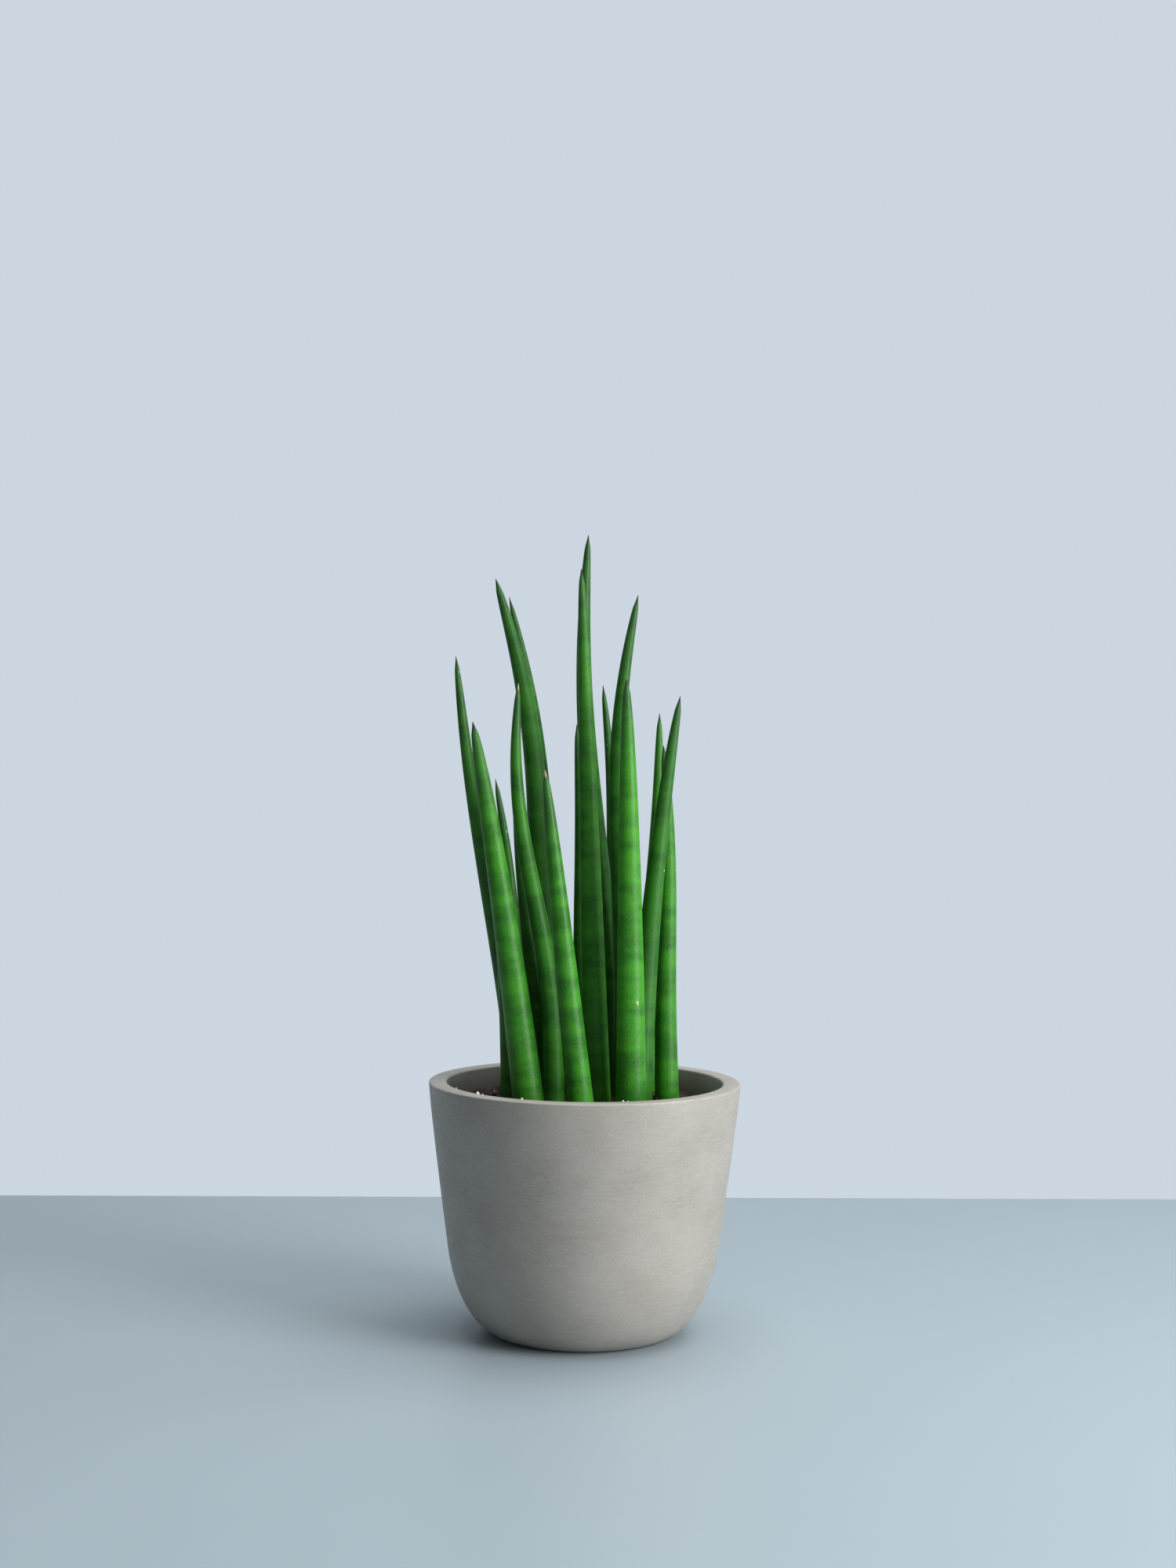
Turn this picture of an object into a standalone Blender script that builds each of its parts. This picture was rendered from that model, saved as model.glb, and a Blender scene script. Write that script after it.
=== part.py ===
"""Potted cylindrical snake plant, in metres, +Z up.

A round pot stands on its flat base. It holds a body of potting soil, and four
rhizomes lie side by side in the soil. Tall, round, pointed leaves stand on the
rhizomes and rise through the soil. The pot, the soil, every rhizome and every leaf
is one closed solid.

The origin is the centre of the pot's underside. +Y points to the back of the plant.
"""
import math

import bmesh
import bpy
from mathutils import Vector

MM = 0.001
GAP = 0.3 * MM

# Pot: a turned shell with a flat rim, a straight tapered side and a rounded knee.
POT_HEIGHT = 120 * MM
RIM_RADIUS = 75 * MM
WALL = 8.5 * MM
EDGE_ROUNDING = 0.9 * MM
KNEE_RADIUS = 65.5 * MM
KNEE_HEIGHT = 43.5 * MM
BASE_RADIUS = 40 * MM
FLOOR = 8 * MM
TURN_STEPS = 56

# The slope of the straight side, as the radius gained for each metre of height.
SIDE_SLOPE = (RIM_RADIUS - KNEE_RADIUS) / (POT_HEIGHT - KNEE_HEIGHT)

# Soil: it fills the pot up to a little below the rim, and is slightly mounded.
SOIL_TOP = 109 * MM
SOIL_MOUND = 1.5 * MM

# Rhizomes: buried stems, side by side along X, that each carry a row of leaves.
# name: y, first x and last x of its middle line, in millimetres.
RHIZOME_HEIGHT = 70 * MM
RHIZOME_RADIUS = 8 * MM
RHIZOME_BOW = 1.2 * MM
RHIZOME_RINGS = 9
RHIZOME_SECTION_RESOLUTION = 4
RHIZOMES = {
    "rhizome_front": (-24, -35, 31),
    "rhizome_front_middle": (-3, -45, 49),
    "rhizome_back_middle": (15, -40, 28),
    "rhizome_back": (34, -15, 41),
}

# Leaves: a leaf's foot is where it leaves the soil. Its root end stands on a rhizome.
ROOT_END_HEIGHT = RHIZOME_HEIGHT + RHIZOME_RADIUS + GAP
ROOT_END_WIDTH = 0.55
LEAF_TAPER = 0.42
LEAF_TIP_RADIUS = 0.4 * MM
LEAF_RINGS = 12
LEAF_SECTION_RESOLUTION = 3

# name: foot (x, y), tip (x, y, z), thickness, bow and sway. All are in millimetres.
# The bow bends the whole leaf along X, and the sway bends it as a slight S.
LEAVES = {
    "leaf_far_left": ((-31, 15), (-64.4, 4, 324), 10.7, -1, 1),
    "leaf_front_left": ((-26, -20), (-54.6, -22, 292), 15.2, 1.5, 0),
    "leaf_slender_left": ((-26, -5), (-44.3, -5, 265), 8.5, 1, -1),
    "leaf_tall_left": ((-11, 21), (-46, 14, 362.5), 14.8, 5, -3.5),
    "leaf_tall_left_back": ((-6, 39), (-40, 32, 355), 10.1, 3, -3),
    "leaf_dry_tip_left": ((-15, -6), (-33.8, -4, 311), 11.2, -1, 4),
    "leaf_centre": ((6.5, -6), (-4.2, -2, 366.5), 12.6, 0, 0),
    "leaf_tallest": ((11, 26), (-1, 25, 385.5), 13.6, -2, 3),
    "leaf_inner_left": ((-21, 8), (-35, 9, 288), 10, -1, 1),
    "leaf_inner_centre": ((3, 11), (-5.7, 14, 292), 10.4, -1, -1),
    "leaf_dry_tip_front": ((-1.4, -28), (-20.2, -28, 269.5), 12.8, 0, 0),
    "leaf_right_centre": ((19.5, 8.5), (23.5, 12, 355), 12.6, -6, 3),
    "leaf_front_right": ((22, -22), (17.7, -20, 313), 15, 0.5, 0),
    "leaf_hooked_back": ((21, 38), (7, 36, 312), 9.5, -1, -2),
    "leaf_leaning_right": ((26.5, -4), (43.8, -6, 305.5), 12.3, -3.5, 0),
    "leaf_right": ((40, 6), (36.6, 10, 282), 11.8, 1, -1),
    "leaf_right_back": ((33, 25), (35, 25, 298), 10.5, -2, -1.5),
    "leaf_low_left": ((-35.5, 3), (-45.3, 0, 225), 10.6, 2, 0),
}


def clear_scene():
    for item in list(bpy.data.objects):
        bpy.data.objects.remove(item, do_unlink=True)


def new_collection(name):
    collection = bpy.data.collections.new(name)
    bpy.context.scene.collection.children.link(collection)
    return collection


def new_material(name, colour, roughness):
    material = bpy.data.materials.new(name)
    material.use_nodes = True
    shader = material.node_tree.nodes["Principled BSDF"]
    shader.inputs["Base Color"].default_value = (*colour, 1.0)
    shader.inputs["Roughness"].default_value = roughness
    shader.inputs["Metallic"].default_value = 0.0
    return material


def mix(a, b, t):
    return a + (b - a) * t


def bezier(start, start_handle, end_handle, end, steps):
    """Points after the start of a cubic Bezier curve, each an (x, z) pair."""
    points = []
    for step in range(1, steps + 1):
        t = step / steps
        weights = ((1 - t) ** 3, 3 * t * (1 - t) ** 2, 3 * t * t * (1 - t), t ** 3)
        corners = (start, start_handle, end_handle, end)
        x = sum(w * corner[0] for w, corner in zip(weights, corners))
        z = sum(w * corner[1] for w, corner in zip(weights, corners))
        points.append((x, z))
    return points


def outer_radius(height):
    """Radius of the pot's straight side, carried on to any height."""
    return RIM_RADIUS + (height - POT_HEIGHT) * SIDE_SLOPE


def side_and_knee(inset, base_height, base_radius, side_handle, base_handle, steps):
    """The side's lower end and the rounded knee below it, from top to bottom."""
    knee = (KNEE_RADIUS - inset, KNEE_HEIGHT)
    handle_on_side = (knee[0] - side_handle * SIDE_SLOPE, knee[1] - side_handle)
    handle_on_base = (base_radius + base_handle, base_height)
    return [knee] + bezier(knee, handle_on_side, handle_on_base, (base_radius, base_height), steps)


def pot_profile():
    inside = side_and_knee(WALL, FLOOR, BASE_RADIUS - WALL, 26 * MM, 10 * MM, 6)
    inside = [(0.0, FLOOR)] + inside[::-1]
    lip = RIM_RADIUS - WALL
    rim = [
        (lip - EDGE_ROUNDING * SIDE_SLOPE, POT_HEIGHT - EDGE_ROUNDING),
        (lip + 0.3 * EDGE_ROUNDING, POT_HEIGHT - 0.3 * EDGE_ROUNDING),
        (lip + EDGE_ROUNDING, POT_HEIGHT),
        (RIM_RADIUS - EDGE_ROUNDING, POT_HEIGHT),
        (RIM_RADIUS - 0.3 * EDGE_ROUNDING, POT_HEIGHT - 0.3 * EDGE_ROUNDING),
        (RIM_RADIUS - EDGE_ROUNDING * SIDE_SLOPE, POT_HEIGHT - EDGE_ROUNDING),
    ]
    outside = side_and_knee(0.0, 0.0, BASE_RADIUS, 30 * MM, 9 * MM, 10)
    return inside + rim + outside + [(0.0, 0.0)]


def soil_profile():
    inset = WALL + GAP
    edge = outer_radius(SOIL_TOP) - inset
    top = [(0.0, SOIL_TOP + SOIL_MOUND), (0.5 * edge, SOIL_TOP + 0.7 * SOIL_MOUND), (edge, SOIL_TOP)]
    base_height = FLOOR + GAP
    below = side_and_knee(inset, base_height, BASE_RADIUS - inset, 26 * MM, 10 * MM, 6)
    return top + below + [(0.0, base_height)]


def turned(name, profile, material, collection):
    """A solid turned about Z from a profile that runs down its outer side."""
    mesh = bpy.data.meshes.new(name)
    points = [(x, 0.0, z) for x, z in profile]
    mesh.from_pydata(points, [(i, i + 1) for i in range(len(points) - 1)], [])
    piece = bpy.data.objects.new(name, mesh)
    piece.data.materials.append(material)
    collection.objects.link(piece)
    screw = piece.modifiers.new("turn", "SCREW")
    screw.steps = TURN_STEPS
    screw.render_steps = TURN_STEPS
    screw.use_merge_vertices = True
    screw.merge_threshold = 0.00001
    screw.use_smooth_shade = True
    return piece


def rhizome_under(foot_y):
    """Y of the rhizome that a leaf grows from, in millimetres: the nearest one."""
    return min((row[0] for row in RHIZOMES.values()), key=lambda y: abs(y - foot_y))


def leaf_path(name):
    """Centre points and radii of a leaf, from its root end on the rhizome to its tip."""
    foot_mm, tip_mm, thickness, bow, sway = LEAVES[name]
    foot = Vector((*foot_mm, 0)) * MM
    foot.z = SOIL_TOP
    tip = Vector(tip_mm) * MM
    radius = 0.5 * thickness * MM
    root_end = Vector((foot.x, rhizome_under(foot_mm[1]) * MM, ROOT_END_HEIGHT))
    path = [
        (root_end, radius * ROOT_END_WIDTH),
        (root_end.lerp(foot, 0.5), radius * 0.88),
    ]
    for ring in range(LEAF_RINGS):
        t = 1 - (1 - ring / (LEAF_RINGS - 1)) ** 1.6
        point = foot.lerp(tip, t)
        point.x += 4 * t * (1 - t) * bow * MM
        point.x += math.sin(2 * math.pi * t) * sway * MM
        path.append((point, max(radius * (1 - t) ** LEAF_TAPER, LEAF_TIP_RADIUS)))
    return path


def tube(name, path, resolution, material, collection):
    """A round tube with capped ends along (point, radius) pairs, as a curve object."""
    curve = bpy.data.curves.new(name, "CURVE")
    curve.dimensions = "3D"
    curve.bevel_depth = 1.0
    curve.bevel_resolution = resolution
    curve.use_fill_caps = True
    spline = curve.splines.new("POLY")
    spline.points.add(len(path) - 1)
    for target, (point, radius) in zip(spline.points, path):
        target.co = (*point, 1.0)
        target.radius = radius
    curve.materials.append(material)
    piece = bpy.data.objects.new(name, curve)
    collection.objects.link(piece)
    return piece


def made_mesh(piece, collection):
    """The curve object's shape as a welded mesh object of the same name."""
    name = piece.name
    bpy.context.view_layer.update()
    evaluated = piece.evaluated_get(bpy.context.evaluated_depsgraph_get())
    mesh = bpy.data.meshes.new_from_object(evaluated)
    shape = bmesh.new()
    shape.from_mesh(mesh)
    bmesh.ops.remove_doubles(shape, verts=shape.verts, dist=0.00001)
    bmesh.ops.recalc_face_normals(shape, faces=shape.faces)
    shape.to_mesh(mesh)
    shape.free()
    matrix = piece.matrix_world.copy()
    bpy.data.objects.remove(piece, do_unlink=True)
    solid = bpy.data.objects.new(name, mesh)
    solid.matrix_world = matrix
    solid.data.shade_smooth()
    collection.objects.link(solid)
    return solid


def cutter(name, path, resolution, material, collection):
    """A tube that only takes room away from another piece."""
    piece = made_mesh(tube(name, path, resolution, material, collection), collection)
    piece.hide_render = True
    piece.display_type = "WIRE"
    return piece


def cut_away(piece, rooms):
    """Takes every solid of the collection away from the piece."""
    modifier = piece.modifiers.new("rooms", "BOOLEAN")
    modifier.operation = "DIFFERENCE"
    modifier.operand_type = "COLLECTION"
    modifier.collection = rooms
    modifier.solver = "EXACT"


def leaf_room(path):
    """The room that a leaf takes in the soil. It opens into the room of its rhizome."""
    start, radius = path[0]
    downwards = (start - path[1][0]).normalized()
    lower = (start + downwards * 0.4 * RHIZOME_RADIUS, radius + GAP)
    return [lower] + [(point, r + GAP) for point, r in path]


def rhizome_path(name):
    """Centre points and radii of a rhizome: a low arch with rounded ends."""
    y, first_x, last_x = RHIZOMES[name]
    path = []
    for ring in range(RHIZOME_RINGS):
        turn = math.pi * ring / (RHIZOME_RINGS - 1)
        along = 0.5 - 0.5 * math.cos(turn)
        x = mix(first_x, last_x, along) * MM
        side = y * MM + RHIZOME_BOW * (math.sin(turn) - 1)
        point = Vector((x, side, RHIZOME_HEIGHT - RHIZOME_BOW * (1 - math.sin(turn))))
        path.append((point, RHIZOME_RADIUS * (0.45 + 0.55 * math.sin(turn) ** 0.5)))
    return path


def room_around(path):
    """The same path, wider by the gap and longer by it at both ends."""
    wide = [(point, radius + GAP) for point, radius in path]
    first, last = path[0][0], path[-1][0]
    wide[0] = (first + (first - path[1][0]).normalized() * GAP, wide[0][1])
    wide[-1] = (last + (last - path[-2][0]).normalized() * GAP, wide[-1][1])
    return wide


def main():
    clear_scene()
    plant = new_collection("potted_snake_plant")
    rooms = new_collection("cutters")

    pot_finish = new_material("pot_composite", (0.38, 0.35, 0.31), 0.55)
    soil_finish = new_material("potting_soil", (0.05, 0.028, 0.018), 0.95)
    rhizome_finish = new_material("rhizome_skin", (0.75, 0.42, 0.16), 0.6)
    leaf_finish = new_material("leaf_skin", (0.045, 0.12, 0.03), 0.4)

    turned("pot", pot_profile(), pot_finish, plant)
    soil = turned("soil", soil_profile(), soil_finish, plant)

    for name in RHIZOMES:
        path = rhizome_path(name)
        tube(name, path, RHIZOME_SECTION_RESOLUTION, rhizome_finish, plant)
        around = room_around(path)
        cutter(f"{name}_room", around, RHIZOME_SECTION_RESOLUTION, soil_finish, rooms)

    for name in LEAVES:
        path = leaf_path(name)
        tube(name, path, LEAF_SECTION_RESOLUTION, leaf_finish, plant)
        around = leaf_room(path)
        cutter(f"{name}_room", around, LEAF_SECTION_RESOLUTION, soil_finish, rooms)

    cut_away(soil, rooms)


main()
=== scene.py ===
# %% [markdown]
# # A potted cylindrical snake plant
# The plant stands in a turned pot of matte composite. Its leaves are round spears that rise
# from buried rhizomes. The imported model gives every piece's place and size, and this lesson
# measures those pieces, makes the visible surfaces around them and gives each one a finish.

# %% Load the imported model
import math

import bmesh
import bpy
import numpy as np
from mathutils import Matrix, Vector, noise


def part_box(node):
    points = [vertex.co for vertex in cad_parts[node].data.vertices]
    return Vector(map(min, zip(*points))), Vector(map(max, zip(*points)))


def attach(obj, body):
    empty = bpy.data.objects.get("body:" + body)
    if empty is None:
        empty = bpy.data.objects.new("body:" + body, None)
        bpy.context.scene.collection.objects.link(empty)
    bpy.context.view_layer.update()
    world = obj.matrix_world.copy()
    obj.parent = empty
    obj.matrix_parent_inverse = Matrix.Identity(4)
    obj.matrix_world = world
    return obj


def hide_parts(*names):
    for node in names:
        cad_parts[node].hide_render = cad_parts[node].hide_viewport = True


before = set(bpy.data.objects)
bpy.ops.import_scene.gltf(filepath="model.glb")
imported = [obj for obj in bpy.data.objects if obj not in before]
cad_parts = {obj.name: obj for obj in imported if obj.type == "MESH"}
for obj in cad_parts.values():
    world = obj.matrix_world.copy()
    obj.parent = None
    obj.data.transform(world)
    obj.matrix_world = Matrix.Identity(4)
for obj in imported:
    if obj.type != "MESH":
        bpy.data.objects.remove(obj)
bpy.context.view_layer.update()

MM = 0.001
print("nodes:", len(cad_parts))

# %% [markdown]
# ## Camera
# A 50 mm lens about a metre away looks almost level at the plant, a little from above the
# rim. The slight roll is that of a camera that is held by hand.

# %% Camera
CAMERA_DISTANCE = 1.057
CAMERA_HEIGHT = 0.271
CAMERA_LENS = 50.4
CAMERA_PITCH = math.radians(0.43)
CAMERA_ROLL = math.radians(0.6)

camera_data = bpy.data.cameras.new("camera")
camera_data.lens = CAMERA_LENS
camera_data.sensor_width = 36.0
camera = bpy.data.objects.new("camera", camera_data)
camera.location = (0.0, -CAMERA_DISTANCE, CAMERA_HEIGHT)
camera.rotation_euler = (math.pi / 2 - CAMERA_PITCH, -CAMERA_ROLL, 0.0)
bpy.context.scene.collection.objects.link(camera)
bpy.context.scene.camera = camera
print("camera at", tuple(camera.location))

# %% [markdown]
# ## Light, sky and table
# One broad soft light stands at the right and in front, as a window would. The sky is a pale
# wall colour, which fills the shadows and gives the glossy leaves something bright to show
# along their edges. The table is a plain pale slab.

# %% Sky and lights
SKY_COLOUR = (0.60, 0.675, 0.75)
ROOM_COLOUR = (0.105, 0.112, 0.108)
BOUNCE_COLOUR = (0.40, 0.46, 0.50)

scene = bpy.context.scene
scene.view_settings.view_transform = "Standard"
scene.view_settings.look = "None"
world = bpy.data.worlds.new("pale_wall")
world.use_nodes = True
scene.world = world
sky = world.node_tree
backdrop = sky.nodes["Background"]
direction = sky.nodes.new("ShaderNodeTexCoord")
compass = sky.nodes.new("ShaderNodeSeparateXYZ")
behind = sky.nodes.new("ShaderNodeMapRange")
behind.interpolation_type = "SMOOTHSTEP"
behind.inputs["From Min"].default_value = -0.35
behind.inputs["From Max"].default_value = 0.75
room = sky.nodes.new("ShaderNodeMix")
room.data_type = "RGBA"
room.inputs[6].default_value = (*ROOM_COLOUR, 1.0)
room.inputs[7].default_value = (*BOUNCE_COLOUR, 1.0)
seen = sky.nodes.new("ShaderNodeMix")
seen.data_type = "RGBA"
seen.inputs[7].default_value = (*SKY_COLOUR, 1.0)
rays = sky.nodes.new("ShaderNodeLightPath")
sky.links.new(direction.outputs["Generated"], compass.inputs[0])
sky.links.new(compass.outputs["Y"], behind.inputs["Value"])
sky.links.new(behind.outputs[0], room.inputs[0])
sky.links.new(room.outputs[2], seen.inputs[6])
sky.links.new(rays.outputs["Is Camera Ray"], seen.inputs[0])
sky.links.new(seen.outputs[2], backdrop.inputs["Color"])


def soft_light(name, place, target, width, height, power, colour):
    data = bpy.data.lights.new(name, "AREA")
    data.shape = "RECTANGLE"
    data.size = width
    data.size_y = height
    data.energy = power
    data.color = colour
    light = bpy.data.objects.new(name, data)
    light.location = place
    light.rotation_euler = (Vector(target) - Vector(place)).to_track_quat("-Z", "Y").to_euler()
    scene.collection.objects.link(light)
    return light


soft_light("window", (0.95, -0.60, 0.50), (0, 0, 0.17), 0.6, 0.9, 16.5, (1.0, 0.99, 0.97))
soft_light("ceiling", (0.35, 0.0, 1.7), (0, 0, 0.1), 1.6, 1.6, 27.0, (0.97, 0.985, 1.0))

# %% [markdown]
# ## Small helpers for node trees
# A shader tree reads best when each node is made, named and wired in one place. These helpers
# keep that to one line each, and a group made with them shows its inputs by name.

# %% Node helpers
def new_node(tree, kind, **settings):
    item = tree.nodes.new(kind)
    for name, value in settings.items():
        setattr(item, name, value)
    return item


def wire(tree, source, target):
    tree.links.new(source, target)


def feed(tree, target, value):
    """Wires a socket into the target, or sets a plain value on it."""
    if isinstance(value, bpy.types.NodeSocket):
        tree.links.new(value, target)
    else:
        target.default_value = value


def maths(tree, operation, a, b=0.0, c=0.0, clamp=False):
    item = new_node(tree, "ShaderNodeMath", operation=operation, use_clamp=clamp)
    for socket, value in zip(item.inputs, (a, b, c)):
        feed(tree, socket, value)
    return item.outputs[0]


def remap(tree, value, low, high, to_low=0.0, to_high=1.0, smooth=True):
    item = new_node(tree, "ShaderNodeMapRange")
    item.interpolation_type = "SMOOTHSTEP" if smooth else "LINEAR"
    for name, number in (("Value", value), ("From Min", low), ("From Max", high),
                         ("To Min", to_low), ("To Max", to_high)):
        feed(tree, item.inputs[name], number)
    return item.outputs[0]


def blend_colours(tree, factor, first, second, mode="MIX"):
    item = new_node(tree, "ShaderNodeMix", data_type="RGBA", blend_type=mode)
    feed(tree, item.inputs[0], factor)
    feed(tree, item.inputs[6], first)
    feed(tree, item.inputs[7], second)
    return item.outputs[2]


def noise_at(tree, place, scale, detail=2.0, roughness=0.5):
    item = new_node(tree, "ShaderNodeTexNoise")
    feed(tree, item.inputs["Vector"], place)
    for name, value in (("Scale", scale), ("Detail", detail), ("Roughness", roughness)):
        feed(tree, item.inputs[name], value)
    return item.outputs["Fac"]


def stretched(tree, place, factors):
    item = new_node(tree, "ShaderNodeVectorMath", operation="MULTIPLY")
    feed(tree, item.inputs[0], place)
    feed(tree, item.inputs[1], factors)
    return item.outputs[0]


def attribute(tree, name):
    return new_node(tree, "ShaderNodeAttribute", attribute_name=name)


def object_place(tree):
    return new_node(tree, "ShaderNodeTexCoord").outputs["Object"]


def new_group(name, inputs, outputs):
    """A shader node group: inputs and outputs are (name, socket type, default) rows."""
    tree = bpy.data.node_groups.new(name, "ShaderNodeTree")
    for socket_name, kind, default in inputs:
        socket = tree.interface.new_socket(socket_name, in_out="INPUT", socket_type=kind)
        if default is not None:
            socket.default_value = default
    for socket_name, kind, _ in outputs:
        tree.interface.new_socket(socket_name, in_out="OUTPUT", socket_type=kind)
    return tree, new_node(tree, "NodeGroupInput"), new_node(tree, "NodeGroupOutput")


def place_group(tree, group, **values):
    item = new_node(tree, "ShaderNodeGroup", node_tree=group)
    for name, value in values.items():
        feed(tree, item.inputs[name.replace("_", " ")], value)
    return item


def new_material(name):
    material = bpy.data.materials.new(name)
    material.use_nodes = True
    return material, material.node_tree, material.node_tree.nodes["Principled BSDF"]


def bump(tree, height, strength, distance, base=None):
    item = new_node(tree, "ShaderNodeBump")
    item.inputs["Strength"].default_value = strength
    item.inputs["Distance"].default_value = distance
    wire(tree, height, item.inputs["Height"])
    if base is not None:
        wire(tree, base, item.inputs["Normal"])
    return item.outputs["Normal"]


print("helpers ready")

# %% [markdown]
# ## Effects that several finishes share
# *Flecks* are small sharp spots: dark stomata rows on a leaf, grit in the pot, bright bits in
# the soil. *Clouds* are the slow, soft changes of tone that stop any surface looking printed.
# Each is a node group, so that every finish can place it with its own scale and amount.

# %% Shared shader groups
FLOAT = "NodeSocketFloat"
VECTOR = "NodeSocketVector"
COLOUR = "NodeSocketColor"

flecks, ins, outs = new_group(
    "flecks",
    [("Place", VECTOR, None), ("Scale", FLOAT, 500.0), ("Rarity", FLOAT, 0.6), ("Softness", FLOAT, 0.05)],
    [("Mask", FLOAT, None)],
)
grain = noise_at(flecks, ins.outputs["Place"], ins.outputs["Scale"], 1.5, 0.6)
upper = maths(flecks, "ADD", ins.outputs["Rarity"], ins.outputs["Softness"])
wire(flecks, remap(flecks, grain, ins.outputs["Rarity"], upper), outs.inputs["Mask"])

clouds, ins, outs = new_group(
    "clouds",
    [("Place", VECTOR, None), ("Scale", FLOAT, 30.0), ("Low", FLOAT, 0.35), ("High", FLOAT, 0.65)],
    [("Mask", FLOAT, None)],
)
drift = noise_at(clouds, ins.outputs["Place"], ins.outputs["Scale"], 4.0, 0.55)
wire(clouds, remap(clouds, drift, ins.outputs["Low"], ins.outputs["High"]), outs.inputs["Mask"])
print("groups:", [group.name for group in bpy.data.node_groups])

# %% [markdown]
# ## Leaf skin
# A leaf is saturated green with irregular darker bands across it, fine dark flecks along it,
# a few pale scars and a dark, dry point. The pattern follows the leaf, so the material reads
# *leaf_place*, a position that is stored while the leaf is swept: across, across, and along.

# %% Leaf skin
def leaf_skin():
    material, tree, shader = new_material("leaf_skin")
    place = attribute(tree, "leaf_place").outputs["Vector"]
    from_tip = attribute(tree, "from_tip").outputs["Fac"]
    tone = attribute(tree, "painted_leaf_light").outputs["Fac"]
    dryness = attribute(tree, "dry_tip").outputs["Fac"]
    margin = attribute(tree, "margin").outputs["Fac"]

    band_place = stretched(tree, place, (0.35, 0.35, 1.0))
    bands = place_group(tree, clouds, Place=band_place, Scale=95.0, Low=0.38, High=0.62).outputs[0]
    patch_place = stretched(tree, place, (0.8, 0.8, 0.25))
    patches = place_group(tree, clouds, Place=patch_place, Scale=60.0, Low=0.3, High=0.7).outputs[0]
    green = blend_colours(tree, bands, (0.022, 0.165, 0.010, 1), (0.047, 0.28, 0.016, 1))
    green = blend_colours(tree, maths(tree, "MULTIPLY", patches, 0.3), green, (0.085, 0.33, 0.035, 1))
    # Painted light and shade: each leaf's green is brightened where it faces the light and darkened as painted shade
    # where it stands behind.
    painted_light_and_shade = blend_colours(tree, tone, (0.22, 0.34, 0.28, 1), (1.05, 1.05, 0.9, 1))
    green = blend_colours(tree, 1.0, green, painted_light_and_shade, "MULTIPLY")

    dot_place = stretched(tree, place, (1.0, 1.0, 0.55))
    dots = place_group(tree, flecks, Place=dot_place, Scale=1500.0, Rarity=0.55, Softness=0.1).outputs[0]
    dots = maths(tree, "MULTIPLY", dots, maths(tree, "MULTIPLY_ADD", bands, -0.35, 0.62))
    green = blend_colours(tree, dots, green, (0.006, 0.06, 0.012, 1))
    bloom = place_group(tree, flecks, Place=place, Scale=900.0, Rarity=0.62, Softness=0.14).outputs[0]
    green = blend_colours(tree, maths(tree, "MULTIPLY", bloom, 0.12), green, (0.25, 0.48, 0.19, 1))
    scars = place_group(tree, flecks, Place=place, Scale=190.0, Rarity=0.765, Softness=0.02).outputs[0]
    green = blend_colours(tree, scars, green, (0.42, 0.52, 0.28, 1))
    green = blend_colours(tree, maths(tree, "MULTIPLY", margin, 0.75), green, (0.16, 0.11, 0.035, 1))

    upper_part = remap(tree, from_tip, 0.0, 0.055, 0.55, 0.0)
    green = blend_colours(tree, upper_part, green, (0.035, 0.085, 0.035, 1))
    dark_point = remap(tree, from_tip, 0.0012, 0.0062, 1.0, 0.0)
    green = blend_colours(tree, dark_point, green, (0.03, 0.028, 0.02, 1))
    dry_point = maths(tree, "MULTIPLY", remap(tree, from_tip, 0.0015, 0.0045, 1.0, 0.0), dryness)
    colour = blend_colours(tree, dry_point, green, (0.42, 0.36, 0.24, 1))
    wire(tree, colour, shader.inputs["Base Color"])

    rough = remap(tree, patches, 0.0, 1.0, 0.42, 0.54)
    rough = maths(tree, "MULTIPLY_ADD", scars, 0.3, rough)
    wire(tree, rough, shader.inputs["Roughness"])
    skin_height = noise_at(tree, stretched(tree, place, (1.0, 1.0, 0.12)), 1400.0, 3.0, 0.6)
    pores = noise_at(tree, place, 3200.0, 1.0, 0.5)
    fine = bump(tree, pores, 0.25, 0.00008)
    wire(tree, bump(tree, skin_height, 0.22, 0.00015, fine), shader.inputs["Normal"])
    shader.inputs["Specular IOR Level"].default_value = 0.32
    return material


leaf_finish = leaf_skin()
print("made", leaf_finish.name)

# %% [markdown]
# ## Measuring a leaf
# Level cuts through a leaf's solid give its middle line and its thickness. The cuts of a
# faceted solid wander a little, so a low polynomial through their middles gives the smooth
# line that the real leaf has.

# %% Leaf measure
SOLID_SIDES = 10


def triangles_of(node):
    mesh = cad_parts[node].data
    mesh.calc_loop_triangles()
    corners = np.array([v.co[:] for v in mesh.vertices])
    return corners[np.array([t.vertices[:] for t in mesh.loop_triangles])]


def level_cut(triangles, height):
    """Middle and corner radius of the section of a leaf at one height."""
    ends = []
    for a, b in ((0, 1), (1, 2), (2, 0)):
        p, q = triangles[:, a], triangles[:, b]
        crosses = (p[:, 2] > height) != (q[:, 2] > height)
        span = np.where(crosses, q[:, 2] - p[:, 2], 1.0)
        share = (height - p[:, 2]) / span
        ends.append((crosses, p + (q - p) * share[:, None]))
    segments = []
    for i in range(len(triangles)):
        points = [spot[i] for crosses, spot in ends if crosses[i]]
        if len(points) == 2:
            segments.append(points)
    segments = np.array(segments)
    lengths = np.linalg.norm(segments[:, 0] - segments[:, 1], axis=1)
    middle = (segments.mean(axis=1) * lengths[:, None]).sum(axis=0) / lengths.sum()
    a = segments[:, 0, :2] - middle[:2]
    b = segments[:, 1, :2] - middle[:2]
    area = 0.5 * np.abs(a[:, 0] * b[:, 1] - a[:, 1] * b[:, 0]).sum()
    share = 0.5 * SOLID_SIDES * math.sin(2 * math.pi / SOLID_SIDES)
    return middle, math.sqrt(area / share)


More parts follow.
